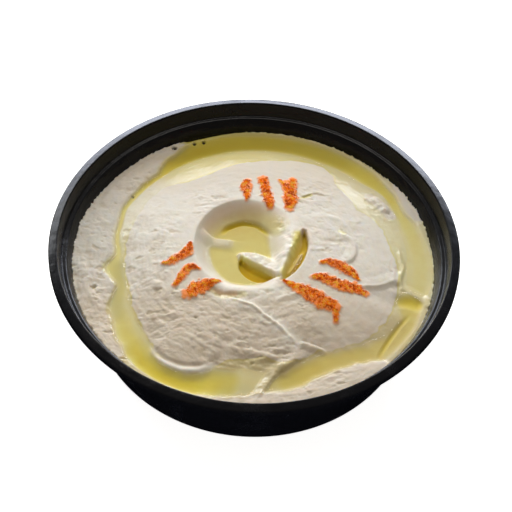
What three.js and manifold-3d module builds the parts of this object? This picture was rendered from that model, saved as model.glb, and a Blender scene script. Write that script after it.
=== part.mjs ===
// Hummus in a round deli bowl, with olive oil and streaks of paprika.
// Millimetres, +Z up. The origin is the middle of the bowl's foot, on the surface it stands on.
// +Y is the back of the dish and +X its right side.

import * as THREE from "three";
import { mergeVertices } from "three/addons/utils/BufferGeometryUtils.js";
import Module from "manifold-3d";

const wasm = await Module();
wasm.setup();

// Bowl
const rimHeight = 42;
const rimRadius = 79.5;
const rimInnerRadius = 75.9;
const rimDrop = 0.9; // the flange's outer edge lies this much below its inner edge
const rimRound = 0.4;
const rimFlat = 0.6; // the narrow flat on top of the flange's inner edge
const edgeRound = 0.6; // the flange's outer edge
const flangeThickness = 1.2;
const skirtDepth = 2.4;
const skirtThickness = 0.8;
const wallThickness = 0.8;
const stepHeight = 36.1; // the lid step inside the wall
const stepRadius = 72.9;
const stepWidth = 1.6;
const stepSlope = 0.1;
const neckHeight = 0.6; // how far the wall takes to turn out to the step, outside
const shoulderHeight = 33; // where the wall turns out towards the step
const shoulderRadius = 71.2;
const footRadius = 62.8;
const footWidth = 6;
const footSlope = 1;
const footRecess = 1;
const cornerRadius = 1.6;
const cornerSteps = 2;
const floorCornerHeight = 2; // the slanted corner between floor and wall, inside
const floorCornerWidth = 1.6;
const bowlSides = 56;

// Gap that keeps touching pieces apart
const gap = 0.3;

// Levels of the food and the oil
const moatLevel = 30.6;
const wellLevel = 31.9;
const slitLevel = 34.3;
const moundRise = 6.8; // from the moat's level to the top of the mound
const moundPower = 2.6;
const moundRadius = 56; // of the even dome, up to where it starts to follow the moat's edge
const moundEven = 34;
const moundFollows = 50;
const shelfLift = 0.25; // the food between moat and wall, above the oil
const shelfRise = 0.9;
const shelfRun = 2;

// The moat of oil round the mound: angle in degrees from +X, inner radius, outer radius, depth
const moat = [
  [0, 60, 69.3, 0.5],
  [18, 60.5, 68.1, 0.6],
  [26, 62, 66, 0.6],
  [36, 63, 67.6, 0.9],
  [48, 60.5, 69.3, 1.1],
  [70, 59.5, 69.3, 1.35],
  [95, 59.2, 69.3, 1.55],
  [112, 58.2, 69.2, 1.65],
  [124, 58, 64.5, 1.5],
  [134, 57.3, 60.2, 1],
  [154, 56.8, 59.2, 0.6],
  [166, 54.6, 56.8, 0.5],
  [180, 51.8, 54.6, 0.5],
  [187, 50.6, 58.4, 0.6],
  [196, 50.6, 55, 0.5],
  [208, 52.4, 61.4, 0.5],
  [222, 54.4, 65.4, 0.8],
  [228, 56.2, 67.9, 1.2],
  [233, 59.4, 68.6, 1.6],
  [240, 60.9, 68.7, 1.8],
  [247, 60.3, 68.6, 1.7],
  [252, 58, 68.4, 1.6],
  [257, 54.2, 67.6, 1.3],
  [263, 53.6, 66.4, 1],
  [268, 52.5, 65, 0.35],
  [274, 53.5, 63.8, 0.3],
  [279, 55.6, 63.2, 0.5],
  [283, 55, 63.3, 0.8],
  [288, 52.7, 63, 0.9],
  [294, 51.6, 61.2, 0.85],
  [301, 51, 60.9, 0.75],
  [309, 53.6, 62.4, 0.7],
  [313, 55, 64.8, 0.7],
  [319, 57.8, 68.6, 0.6],
  [327, 61, 68.9, 0.6],
  [334, 62.6, 69.1, 0.6],
  [341, 59, 68.6, 0.7],
  [347, 59, 68.6, 0.6],
  [353, 60, 69.3, 0.5],
];
// How flat the moat's floor is from its middle to its inner and to its outer bank
const innerSharpness = 2.2;
const outerSharpness = 3.5;

// The well pressed into the top of the mound by the back of a spoon
const wellCentre = [-4.8, 3.8];
const wellHalfWidth = 18.9;
const wellHalfLength = 23;
// Where it reaches further: by which share, in which direction and how wide, in degrees
const bulges = [
  [0.12, -55, 20],
  [0.12, 38, 24],
];
const wellDepth = 0.62; // below the oil in it
const wellFloor = 0.585; // where the wall meets the floor, as a share of the half widths
const rampReach = 0.13; // how much further in the wall runs on the right, where it is a ramp
const rampAngle = 28;
const rampSpread = 42;
const frontReach = 0.12; // how much less it does at the front
const frontAngle = -90;
const frontSpread = 50;
const lipHeight = 0.45;
const lipPlace = 1.06;
const lipWidth = 0.08;
const lipLeast = 0.25; // the least share of its height, and the direction in which it is full
const lipAngle = -100;
const lipSpread = 65;
const keenAngle = 150; // where the well's edge is keen, not rounded
const keenSpread = 80;

// Paths of the spit between the front pools, of the rim of the front left lobe, of the crest below
// the well and of the curl on its right
const spitPath = [
  [2.2, -68],
  [4.1, -64.5],
  [6.4, -60.4],
  [9.2, -55.4],
  [13.4, -51.4],
  [17.5, -47.8],
  [21.8, -45.2],
];
const lipPath = [
  [-37.6, -45.6],
  [-35.4, -48.9],
  [-32.2, -51.8],
  [-28, -54],
  [-23.6, -55],
  [-19, -54.9],
  [-14, -52.8],
];
const crestPath = [
  [-11, -23],
  [-5, -25.6],
  [0.6, -27.6],
  [5.4, -31.8],
  [9.5, -34.6],
  [13.5, -38.3],
  [17, -41],
];
const curlPath = [[31, 12.4], [36.7, 10.4], [39.2, 6], [39, 1], [36, -2.6], [31.6, -2.4]];

// Folds of the food: a path, how far the fold slopes on its left and on its right, and its height
const folds = [
  { path: spitPath, reach: [4.4, 2.2], height: 1.4 },
  { path: lipPath, reach: [2.8, 1.2], height: 0.6 },
  // the bank across the moat on the right, and the island behind it
  { path: [[56.6, -11.2], [61.4, -12.8], [65, -16], [68.2, -20.5]], reach: [3.5, 2.2], height: 1.6 },
  { path: [[46, 35], [50, 31], [53.5, 27]], reach: [3.4, 3.4], height: 1.4 },
  // the crest below the well, and the ridges in front of it
  { path: crestPath, reach: [1.6, 4], height: 0.7 },
  { path: [[-10.6, -45], [-2.6, -45.7], [5.3, -47.2], [13.3, -48.6]], reach: [1.3, 3.4], height: 0.6 },
  { path: [[17.6, -41.4], [21.1, -41.7], [26, -42.6], [28.8, -44]], reach: [1.4, 2.4], height: 0.7 },
  // the curl on the right of the well
  { path: curlPath, reach: [1.1, 4.5], height: 0.65 },
  // low swells along the wall and the right side
  { path: [[-66, -4], [-64, -12], [-62, -20], [-56, -28]], reach: [1.6, 5], height: 0.7 },
  { path: [[57.6, -12.4], [57.2, -6.4], [58.8, 0], [57.5, 4], [57, 9]], reach: [2.4, 1.2], height: 0.5 },
  { path: [[39, -13.6], [47, -12.6], [51, -10.8], [57.6, -6.4]], reach: [5, 2.4], height: 0.7 },
];
const hollows = [
  { path: [[54, -17.4], [60.4, -17], [66.2, -19.4]], reach: [3.6, 3.8], height: -0.85 },
  { path: [[-16, -19.8], [-12, -22.2], [-7.5, -22.4], [-1.5, -21.8]], reach: [1.6, 2.8], height: -0.7 },
  { path: [[-61.5, -17.2], [-60.6, -18.6]], reach: [1.8, 1.8], height: -1.4 },
  { path: [[-4, 70.2], [-25, 65.6], [-45, 53.8], [-60, 36.4], [-68, 17]], reach: [2.6, 2.6], height: -1 },
];
const foldFade = 0.3; // the share of a fold's length over which its ends die away
const foldStart = 0.05; // the height that is left at its very ends, as a share of that length

// Inside the well: a deeper arc at the back, a flap on the left, a knob and a fold on the right, a
// tongue and the pocket under it
const arc = {
  path: [[-13.6, 12.2], [-10.4, 16], [-5, 18.4], [0.4, 17.4], [4, 14.6], [6.8, 11.6]],
  reach: [1.5, 1.6],
  height: -1.5,
};
const wellFolds = [
  { path: [[-21, 12], [-18.5, 10], [-15.5, 8.9], [-11.5, 8.5], [-7.6, 8.6]], reach: [0.9, 5.5], height: 1.1 },
  { path: [[14, 3.6], [12, 0.4], [9.4, -1], [7.6, -0.4]], reach: [3.4, 3.4], height: 0.65 },
  { path: [[11.6, -3], [10.6, -7.4], [10.6, -12.5]], reach: [2.2, 1.8], height: 0.5 },
];
// The tongue's path is its crest, with its reach to the back and to the front, and its height
const tongue = {
  path: [[-4.4, 0], [-2.6, -0.6], [1, -2.2], [4.6, -4.5], [7.5, -7.1], [9.3, -10.2], [10.5, -13.8]],
  back: [3, 4.4, 5.2, 5.4, 5.4, 4, 2],
  front: [2, 3, 3.4, 4, 3.6, 2.6, 1.4],
  top: [33.5, 34, 34.2, 34.3, 34.9, 35.6, 36.2],
};
const tongueFlat = 0.2; // the share of its reach on which the tongue is flat
const tongueBlend = 0.8; // how softly it runs into the well's wall
// Banks are 0 where the cut is steep and 1 where it slopes evenly, on the left and on the right
const pocket = {
  path: [[-5, -1.8], [-3.6, -5], [-0.5, -7.8], [3.4, -9.4], [7, -10.7], [9.8, -12.4]],
  reach: [3.6, 2.8],
  banks: [0.6, 0.35],
};
const pocketDepth = 2.7;

// The open slit beside the well, with a thin ridge standing in it
const slit = {
  path: [[19.3, 11.4], [19.4, 6], [18, 0], [15.6, -6.6], [12.8, -11.8], [10.9, -14.4]],
  reach: [2.5, 4.5],
  banks: [0.5, 1],
};
const slitDepth = 1.7;
const slitRidge = {
  path: [[19.3, 3.4], [17.6, -0.6], [15.1, -6.4], [12.9, -10.6]],
  reach: [1.1, 0.9],
  height: 2,
};
const ridgeBlend = 3; // how soon inside the slit the ridge has its full height
// A cut is lens-shaped: the stretch of a half wave that its width follows, and the least half width
const lensFrom = 0.08;
const lensTo = 0.96;
const lensFullness = 0.9;
const lensEdge = 0.2;

// Streaks of paprika: a path, and the width at each of its points
const streaks = [
  { path: [[-4.1, 38.5], [-4.6, 34.1], [-4, 29.4], [-4, 27]], widths: [2.7, 5.4, 3.8, 1.8] },
  { path: [[2, 39.8], [3.1, 35.6], [4.1, 30.4], [5, 25.8], [5.6, 23.4]], widths: [4.5, 4.3, 5, 4.7, 2.9] },
  { path: [[12.8, 37.4], [13.2, 31.4], [13.4, 27.3], [13, 23]], widths: [6.1, 5.6, 6.6, 3.8] },
  { path: [[8.8, 39.8], [11, 37]], widths: [1.4, 3.6] },
  { path: [[14.3, 40.4], [14.2, 37]], widths: [3.6, 4.1] },
  {
    path: [[-25, 2.4], [-25.9, -1.8], [-29, -4.6], [-32.2, -6.9], [-35.3, -7.6]],
    widths: [1.6, 5.2, 4.5, 4.3, 1.4],
  },
  { path: [[-20.9, -10.8], [-24.5, -9.6], [-27.6, -14.3], [-29.9, -18.2]], widths: [1.6, 4.1, 4.1, 2.3] },
  { path: [[-12.6, -16.3], [-16.2, -17.5], [-20.1, -19.2], [-24.5, -22.2]], widths: [1.8, 5, 7.5, 5.2] },
  {
    path: [[26, -4.5], [29.1, -3.8], [33.4, -5.1], [37.4, -7.2], [40.7, -10.8]],
    widths: [2, 4.3, 5.4, 5, 1.4],
  },
  {
    path: [[22.9, -12], [26.8, -11.6], [32.3, -14.1], [38.1, -15], [43.2, -16.8]],
    widths: [2.5, 5.4, 5.4, 6.1, 3.6],
  },
  {
    path: [[11.7, -14.9], [17.1, -17.8], [22.2, -20], [27.3, -23.2], [31.5, -24.7]],
    widths: [1.1, 4.5, 7, 7.5, 5.4],
  },
  { path: [[31.6, -25], [31.9, -28.3], [32, -31]], widths: [2.9, 2.7, 2.3] },
];
const streakStep = 2.2;
const streakHeight = 0.4;
const streakUneven = 0.35; // how much its width and height vary, as a share
const streakSeed = 11;
const streakPoint = 0.6; // how far its pointed ends reach past the path, and how deep they lie
const streakSunk = 0.2;
// Section of a streak: across, as a share of its half width, and up, as a share of its height
const streakSection = [[-1.05, -0.4], [0, -2], [1.05, -0.4], [0.75, 0.8], [0.05, 1.1], [-0.7, 0.75]];

// Grid of the food's surface
const coarseStep = 4.56; // degrees
const fineStep = 2.9;
const fineFrom = 250; // the finer side, at the front right, where the small folds and the slit are
const fineTo = 382;
const wellRings = [0.12, 0.25, 0.37, 0.48, 0.57, 0.65, 0.73, 0.81, 0.9, 0.97, 1.04, 1.11, 1.19, 1.27, 1.36];
const moundRings = [0.16, 0.32, 0.47, 0.61, 0.74, 0.86, 0.95];
const moatRings = [0, 0.12, 0.36, 0.64, 0.88, 1];
const shelfRings = [0.35, 0.7];
const curveSteps = 5;
const mergeDistance = 1e-4;

// What the oil is cut from
const cutterGrowth = 4; // how far the solid that shapes the oil reaches past the wall
const slabDepth = 5;
const slabSegments = 24;
const moatInset = 10; // how far the moat's slab reaches in under the mound
const wellShare = 1.08; // the well's slab, as a share of the well

const clamp = THREE.MathUtils.clamp;
const degrees = THREE.MathUtils.radToDeg;

// 0 at and before `from`, 1 at and after `to`, smooth between; from may be the larger one
function ease(from, to, value) {
  const t = clamp((value - from) / (to - from), 0, 1);
  return t * t * (3 - 2 * t);
}

const mound = (distance, reach) => Math.max(0, 1 - (distance / reach) ** 2) ** 2;
const bell = (value, centre, width) => Math.exp(-(((value - centre) / width) ** 2));

// 1 in a direction, falling off on both sides of it, in degrees
const facing = (angle, direction, width) => bell(((angle - direction + 540) % 360) - 180, 0, width);

// The value where it is above 0, else 0, with a soft bend of the given width
const above = (value, width) => (value + Math.hypot(value, width)) / 2;

// Values given at even steps along a path
function spread(values, along) {
  const place = along * (values.length - 1);
  const k = Math.min(Math.floor(place), values.length - 2);
  return THREE.MathUtils.lerp(values[k], values[k + 1], place - k);
}

// A path through the given points, as a smooth run of short straight pieces
function smoothPath(points) {
  const corners = points.map(([x, y]) => new THREE.Vector3(x, y, 0));
  const curve = new THREE.CatmullRomCurve3(corners, false, "centripetal");
  return curve.getSpacedPoints((points.length - 1) * curveSteps);
}

// How far a point is from a path, how far along the path that is (0 to 1), and on which side
function nearest(line, x, y) {
  let best = { distance: Infinity, along: 0, left: false };
  for (let k = 0; k + 1 < line.length; k++) {
    const dx = line[k + 1].x - line[k].x;
    const dy = line[k + 1].y - line[k].y;
    const px = x - line[k].x;
    const py = y - line[k].y;
    const t = clamp((px * dx + py * dy) / (dx * dx + dy * dy), 0, 1);
    const distance = Math.hypot(px - t * dx, py - t * dy);
    if (distance < best.distance) {
      best = { distance, along: (k + t) / (line.length - 1), left: dx * py - dy * px > 0 };
    }
  }
  return best;
}

for (const feature of [...folds, ...hollows, ...wellFolds, arc, tongue, pocket, slit, slitRidge]) {
  feature.line = smoothPath(feature.path);
}

const onSide = ([left, right], place) => (place.left ? left : right);

// Height that a fold or a hollow adds at a point
function foldHeight(fold, x, y) {
  const place = nearest(fold.line, x, y);
  const ends = ease(-foldStart, foldFade - foldStart, Math.min(place.along, 1 - place.along));
  return fold.height * mound(place.distance, onSide(fold.reach, place)) * ends;
}

// Inner radius, outer radius and depth of the moat in one direction
function moatAt(angle) {
  const turned = (angle + 360) % 360;
  let k = moat.length - 1;
  while (moat[k][0] > turned) k--;
  const from = moat[k];
  const to = moat[(k + 1) % moat.length];
  const span = (to[0] - from[0] + 360) % 360;
  const t = ease(0, span, turned - from[0]);
  return [1, 2, 3].map((column) => THREE.MathUtils.lerp(from[column], to[column], t));
}

// The mound, the moat round it and the shelf against the wall, with their folds
function openHeight(x, y) {
  const radius = Math.hypot(x, y);
  const [inner, outer, depth] = moatAt(degrees(Math.atan2(y, x)));
  let height;
  if (radius < inner) {
    const edge = THREE.MathUtils.lerp(moundRadius, inner, ease(moundEven, moundFollows, radius));
    height = moatLevel + moundRise * (1 - (radius / edge) ** moundPower);
  } else if (radius < outer) {
    const across = (2 * (radius - inner)) / (outer - inner) - 1;
    const sharpness = across < 0 ? innerSharpness : outerSharpness;
    height = moatLevel - depth * (1 - Math.abs(across) ** sharpness);
  } else {
    height = moatLevel + shelfLift + shelfRise * (1 - Math.exp((outer - radius) / shelfRun));
  }
  for (const fold of [...folds, ...hollows]) height += foldHeight(fold, x, y);
  return height;
}

// How wide a lens-shaped cut is along its path, as a share of its widest
const lens = (along) => Math.sin(Math.PI * THREE.MathUtils.lerp(lensFrom, lensTo, along)) ** lensFullness;

// How far a surface is cut down along a lens-shaped path: 0 outside, 1 on the floor of the cut
function cutShare(cut, x, y) {
  const place = nearest(cut.line, x, y);
  const reach = onSide(cut.reach, place) * lens(place.along) + lensEdge;
  const floor = reach * (1 - onSide(cut.banks, place));
  return 1 - ease(floor, reach, place.distance);
}

// How far the well is sunk at a share of its half widths and a direction: 0 outside, 1 on its floor
function sunkShare(out, angle) {
  const ramp = rampReach * facing(angle, rampAngle, rampSpread);
  const front = frontReach * facing(angle, frontAngle, frontSpread);
  const down = clamp((1 - out) / (1 - wellFloor + ramp - front), 0, 1);
  const keen = facing(angle, keenAngle, keenSpread);
  return THREE.MathUtils.lerp(ease(0, 1, down), 1 - (1 - down) ** 2, keen);
}

// How far the tongue lifts a surface of the given height
function tongueLift(x, y, height) {
  const place = nearest(tongue.line, x, y);
  const reach = spread(place.left ? tongue.back : tongue.front, place.along);
  const share = ease(reach, reach * tongueFlat, place.distance);
  return above(spread(tongue.top, place.along) - height, tongueBlend) * share;
}

// The food's surface
function foodHeight(x, y) {
  const east = (x - wellCentre[0]) / wellHalfWidth;
  const north = (y - wellCentre[1]) / wellHalfLength;
  const angle = degrees(Math.atan2(north, east));
  let out = Math.hypot(east, north);
  for (const [share, ...towards] of bulges) out -= out * share * facing(angle, ...towards);
  const floor = wellLevel - wellDepth + foldHeight(arc, x, y);
  const lip = lipHeight * THREE.MathUtils.lerp(lipLeast, 1, facing(angle, lipAngle, lipSpread));
  const top = openHeight(x, y) + lip * bell(out, lipPlace, lipWidth);
  let height = THREE.MathUtils.lerp(top, floor, sunkShare(out, angle));
  for (const fold of wellFolds) height += foldHeight(fold, x, y);
  height += tongueLift(x, y, height);
  height -= Math.max(0, height - wellLevel + pocketDepth) * cutShare(pocket, x, y);
  const opened = cutShare(slit, x, y);
  height -= Math.max(0, height - slitLevel + slitDepth) * opened;
  return height + foldHeight(slitRidge, x, y) * Math.min(1, ridgeBlend * opened);
}

// Inner radius of the wall, up to its shoulder
const wallRadius = (height) => {
  const slope = (shoulderRadius - footRadius + wallThickness) / shoulderHeight;
  return shoulderRadius - slope * (shoulderHeight - height);
};

// A closed mesh made of rings of equal length and the two points that close it below and above
function closedRings(rings, low, high) {
  const sides = rings[0].length;
  const points = [...rings.flat(), low, high];
  const lowIndex = points.length - 2;
  const highIndex = points.length - 1;
  const index = [];
  const last = (rings.length - 1) * sides;
  for (let side = 0; side < sides; side++) {
    const next = (side + 1) % sides;
    index.push(lowIndex, next, side);
    index.push(highIndex, last + side, last + next);
    for (let ring = 0; ring + 1 < rings.length; ring++) {
      const a = ring * sides + side;
      const b = ring * sides + next;
      index.push(a, b, b + sides, a, b + sides, a + sides);
    }
  }
  const geometry = new THREE.BufferGeometry();
  geometry.setAttribute("position", new THREE.Float32BufferAttribute(points.flat(), 3));
  geometry.setIndex(index);
  return geometry;
}

// Plan positions of the surface grid in one direction, from the wall in to the well
function gridLine(angle) {
  const cos = Math.cos(angle);
  const sin = Math.sin(angle);
  const [inner, outer] = moatAt(degrees(angle));
  const wall = wallRadius(moatLevel) - gap;
  const line = [];
  for (const share of [...shelfRings].reverse()) {
    const radius = THREE.MathUtils.lerp(outer, wall, share);
    line.push([radius * cos, radius * sin]);
  }
  for (const share of [...moatRings].reverse()) {
    const radius = THREE.MathUtils.lerp(inner, outer, share);
    line.push([radius * cos, radius * sin]);
  }
  const crest = wellRings.at(-1);
  const start = [wellCentre[0] + crest * wellHalfWidth * cos, wellCentre[1] + crest * wellHalfLength * sin];
  for (const share of [...moundRings].reverse()) {
    line.push([0, 1].map((k) => THREE.MathUtils.lerp(start[k], inner * [cos, sin][k], share)));
  }
  for (const share of [...wellRings].reverse()) {
    line.push([wellCentre[0] + share * wellHalfWidth * cos, wellCentre[1] + share * wellHalfLength * sin]);
  }
  return line;
}

function gridAngles() {
  const angles = [];
  const fill = (from, to, step) => {
    const count = Math.round((to - from) / step);
    for (let k = 0; k < count; k++) {
      angles.push(THREE.MathUtils.degToRad(THREE.MathUtils.lerp(from, to, k / count)));
    }
  };
  fill(fineTo - 360, fineFrom, coarseStep);
  fill(fineFrom, fineTo, fineStep);
  return angles;
}

// The food as a solid. `lift` raises its surface and `grow` moves its side, to cut the oil to fit.
function foodGeometry(lift = 0, grow = 0) {
  const bottom = footRecess + wallThickness + gap;
  const angles = gridAngles();
  const around = (height, radius) => {
    return angles.map((angle) => [radius * Math.cos(angle), radius * Math.sin(angle), height]);
  };
  const rim = angles.map((angle) => {
    const radius = wallRadius(moatLevel) - gap;
    const height = foodHeight(radius * Math.cos(angle), radius * Math.sin(angle)) + lift;
    const fitted = wallRadius(height) - gap + grow;
    return [fitted * Math.cos(angle), fitted * Math.sin(angle), height];
  });
  const lines = angles.map(gridLine);
  const side = gap - grow;
  const rings = [
    around(bottom, wallRadius(bottom) - floorCornerWidth - side),
    around(bottom + floorCornerHeight, wallRadius(bottom + floorCornerHeight) - side),
    rim,
  ];
  for (let ring = 0; ring < lines[0].length; ring++) {
    rings.push(lines.map((line) => [...line[ring], foodHeight(...line[ring]) + lift]));
  }
  const middle = [...wellCentre, foodHeight(...wellCentre) + lift];
  return closedRings(rings, [0, 0, bottom], middle);
}

function toSolid(geometry) {
  const bare = geometry.clone();
  bare.deleteAttribute("normal");
  bare.deleteAttribute("uv");
  const merged = mergeVertices(bare, mergeDistance);
  return new wasm.Manifold(
    new wasm.Mesh({
      numProp: 3,
      vertProperties: new Float32Array(merged.attributes.position.array),
      triVerts: new Uint32Array(merged.index.array),
    }),
  );
}

function toGeometry(solid) {
  const mesh = solid.getMesh();
  const geometry = new THREE.BufferGeometry();
  geometry.setAttribute("position", new THREE.BufferAttribute(mesh.vertProperties, 3));
  geometry.setIndex(new THREE.BufferAttribute(mesh.triVerts, 1));
  geometry.computeVertexNormals();
  return geometry;
}

// A small seeded source of numbers from 0 to 1
function seeded(seed) {
  let state = seed;
  return () => {
    state = (state * 1664525 + 1013904223) % 4294967296;
    return state / 4294967296;
  };
}

// A streak of paprika, a low uneven ridge that is partly sunk in the food
function streakGeometry(streak, random) {
  const points = streak.path.map(([x, y]) => new THREE.Vector3(x, y, 0));
  const curve = new THREE.CatmullRomCurve3(points, false, "centripetal");
  const count = Math.max(2, Math.round(curve.getLength() / streakStep));
  const uneven = () => 1 + streakUneven * (2 * random() - 1);
  const rings = [];
  for (let k = 0; k <= count; k++) {
    const middle = curve.getPointAt(k / count);
    const ahead = curve.getTangentAt(k / count);
    const half = (spread(streak.widths, k / count) / 2) * uneven();
    rings.push(
      streakSection.map(([across, up]) => {
        const x = middle.x - across * half * ahead.y;
        const y = middle.y + across * half * ahead.x;
        return [x, y, foodHeight(x, y) + up * streakHeight * (up > 0 ? uneven() : 1)];
      }),
    );
  }
  const end = (along) => {
    const past = along < 0.5 ? -streakPoint : streakPoint;
    const point = curve.getPointAt(along).addScaledVector(curve.getTangentAt(along), past);
    return [point.x, point.y, foodHeight(point.x, point.y) - streakSunk];
  };
  return closedRings(rings, end(0), end(1));
}

function foodSolid() {
  const random = seeded(streakSeed);
  let solid = toSolid(foodGeometry());
  for (const streak of streaks) solid = solid.add(toSolid(streakGeometry(streak, random)));
  return solid;
}

// Oil up to `level` inside an outline, as deep as the food lets it be, largest pool first
function pools(outline, level, cutter) {
  const slab = new THREE.ExtrudeGeometry(outline, {
    depth: slabDepth,
    bevelEnabled: false,
    curveSegments: slabSegments,
  });
  slab.translate(0, 0, level - slabDepth);
  const bodies = toSolid(slab).subtract(cutter).decompose();
  return bodies.sort((a, b) => b.volume() - a.volume());
}

// The ring between the wall and the middle of the mound
function moatOutline() {
  const outline = new THREE.Shape();
  outline.absarc(0, 0, wallRadius(moatLevel) - 2 * gap, 0, 2 * Math.PI);
  const middle = new THREE.Path();
  middle.absarc(0, 0, moundRadius - moatInset, 0, 2 * Math.PI);
  outline.holes.push(middle);
  return outline;
}

function wellOutline() {
  const outline = new THREE.Shape();
  outline.absellipse(...wellCentre, wellHalfWidth * wellShare, wellHalfLength * wellShare, 0, 2 * Math.PI);
  return outline;
}

// The outline of the slit, out to its banks
function slitOutline() {
  const edge = (side, widest) => {
    return slit.line.map((point, k) => {
      const reach = widest * lens(k / (slit.line.length - 1)) + lensEdge;
      const before = slit.line[Math.max(0, k - 1)];
      const after = slit.line[Math.min(slit.line.length - 1, k + 1)];
      const along = after.clone().sub(before).normalize();
      return new THREE.Vector2(point.x - side * reach * along.y, point.y + side * reach * along.x);
    });
  };
  return new THREE.Shape([...edge(1, slit.reach[0]), ...edge(-1, slit.reach[1]).reverse()]);
}

// The bowl's section, from the middle of its underside round the rim to the middle of its floor
function bowlSection() {
  const lean = (wallRadius(cornerRadius) - wallRadius(0)) / cornerRadius;
  const corner = Array.from({ length: cornerSteps + 1 }, (_, k) => {
    const turn = (k / cornerSteps) * (Math.PI / 2);
    const height = cornerRadius * (1 - Math.cos(turn));
    return [footRadius - cornerRadius * (1 - Math.sin(turn)) + lean * height, height];
  });
  const edgeHeight = rimHeight - rimDrop;
  const skirtInside = rimRadius - skirtThickness;
  const flat = rimInnerRadius + rimRound;
  const floor = footRecess + wallThickness;
  return [
    [0, footRecess],
    [footRadius - footWidth - footSlope, footRecess],
    [footRadius - footWidth, 0],
    ...corner,
    [shoulderRadius + wallThickness, shoulderHeight - neckHeight],
    [stepRadius + wallThickness, stepHeight - 2 * neckHeight],
    [stepRadius + stepWidth + wallThickness, stepHeight - neckHeight],
    [rimInnerRadius + wallThickness, rimHeight - flangeThickness],
    [skirtInside, edgeHeight - flangeThickness],
    [skirtInside, edgeHeight - skirtDepth],
    [rimRadius, edgeHeight - skirtDepth],
    [rimRadius, edgeHeight - edgeRound],
    [rimRadius - edgeRound, edgeHeight],
    [flat + rimFlat, rimHeight],
    [flat, rimHeight],
    [rimInnerRadius, rimHeight - rimRound],
    [stepRadius + stepWidth, stepHeight + stepSlope],
    [stepRadius, stepHeight],
    [shoulderRadius, shoulderHeight],
    [wallRadius(floor + floorCornerHeight), floor + floorCornerHeight],
    [wallRadius(floor) - floorCornerWidth, floor],
    [0, floor],
  ];
}

function bowlGeometry() {
  const section = bowlSection().map(([radius, height]) => new THREE.Vector2(radius, height));
  const geometry = new THREE.LatheGeometry(section, bowlSides);
  geometry.rotateX(Math.PI / 2); // the lathe turns about +Y, and the bowl stands along +Z
  return geometry;
}

const blackPlastic = new THREE.MeshStandardMaterial({ color: 0x0d0e12, roughness: 0.22, metalness: 0 });
const chickpea = new THREE.MeshStandardMaterial({ color: 0xe6dfd0, roughness: 0.55, metalness: 0 });
const oliveOil = new THREE.MeshStandardMaterial({ color: 0xb7a63a, roughness: 0.08, metalness: 0 });

const dish = new THREE.Group();

function addPiece(name, geometry, material) {
  const piece = new THREE.Mesh(geometry, material);
  piece.name = name;
  dish.add(piece);
}

const cutter = toSolid(foodGeometry(gap, cutterGrowth));
const [aroundMound, frontRight] = pools(moatOutline(), moatLevel, cutter);
const [inWell] = pools(wellOutline(), wellLevel, cutter);
const [inSlit] = pools(slitOutline(), slitLevel, cutter);

addPiece("bowl", bowlGeometry(), blackPlastic);
addPiece("hummus", toGeometry(foodSolid()), chickpea);
addPiece("oil_moat", toGeometry(aroundMound), oliveOil);
addPiece("oil_front_right", toGeometry(frontRight), oliveOil);
addPiece("oil_well", toGeometry(inWell), oliveOil);
addPiece("oil_slit", toGeometry(inSlit), oliveOil);

export default dish;
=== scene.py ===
# Hummus in a black deli bowl, with pools of olive oil and streaks of paprika.
# +Z is up, +Y the back of the dish and +X its right. Shapes are worked out in millimetres.

import itertools
import math

import bpy
import numpy as np
from mathutils import Matrix, Vector, noise


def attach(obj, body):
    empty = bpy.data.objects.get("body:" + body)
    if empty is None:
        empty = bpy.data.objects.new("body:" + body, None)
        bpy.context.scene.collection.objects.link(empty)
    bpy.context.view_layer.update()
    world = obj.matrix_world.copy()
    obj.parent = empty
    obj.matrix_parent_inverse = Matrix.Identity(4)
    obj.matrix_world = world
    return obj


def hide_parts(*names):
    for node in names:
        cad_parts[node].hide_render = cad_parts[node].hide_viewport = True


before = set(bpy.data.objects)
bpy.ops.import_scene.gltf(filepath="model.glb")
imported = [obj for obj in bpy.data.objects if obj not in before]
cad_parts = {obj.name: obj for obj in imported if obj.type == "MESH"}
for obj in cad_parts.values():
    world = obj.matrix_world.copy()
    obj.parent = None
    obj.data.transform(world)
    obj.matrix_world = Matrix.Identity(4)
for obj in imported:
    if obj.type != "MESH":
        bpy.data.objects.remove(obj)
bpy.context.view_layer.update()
print("frame loaded:", ", ".join(sorted(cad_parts)))

mm = 0.001


# shader maths
class Wire:  # one output of a shader node, used in sums like a number
    def __init__(self, shader, socket):
        self.shader = shader
        self.socket = socket

    def maths(self, operation, first, second):
        return self.shader.node("ShaderNodeMath", {"operation": operation}, {0: first, 1: second})

    def __add__(self, other):
        return self.maths("ADD", self, other)

    def __sub__(self, other):
        return self.maths("SUBTRACT", self, other)

    def __mul__(self, other):
        return self.maths("MULTIPLY", self, other)

    def __truediv__(self, other):
        return self.maths("DIVIDE", self, other)

    def __pow__(self, other):
        return self.maths("POWER", self, other)

    __radd__ = __add__
    __rmul__ = __mul__

    def also(self, name):  # another output of the same node
        return Wire(self.shader, self.socket.node.outputs[name])


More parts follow.
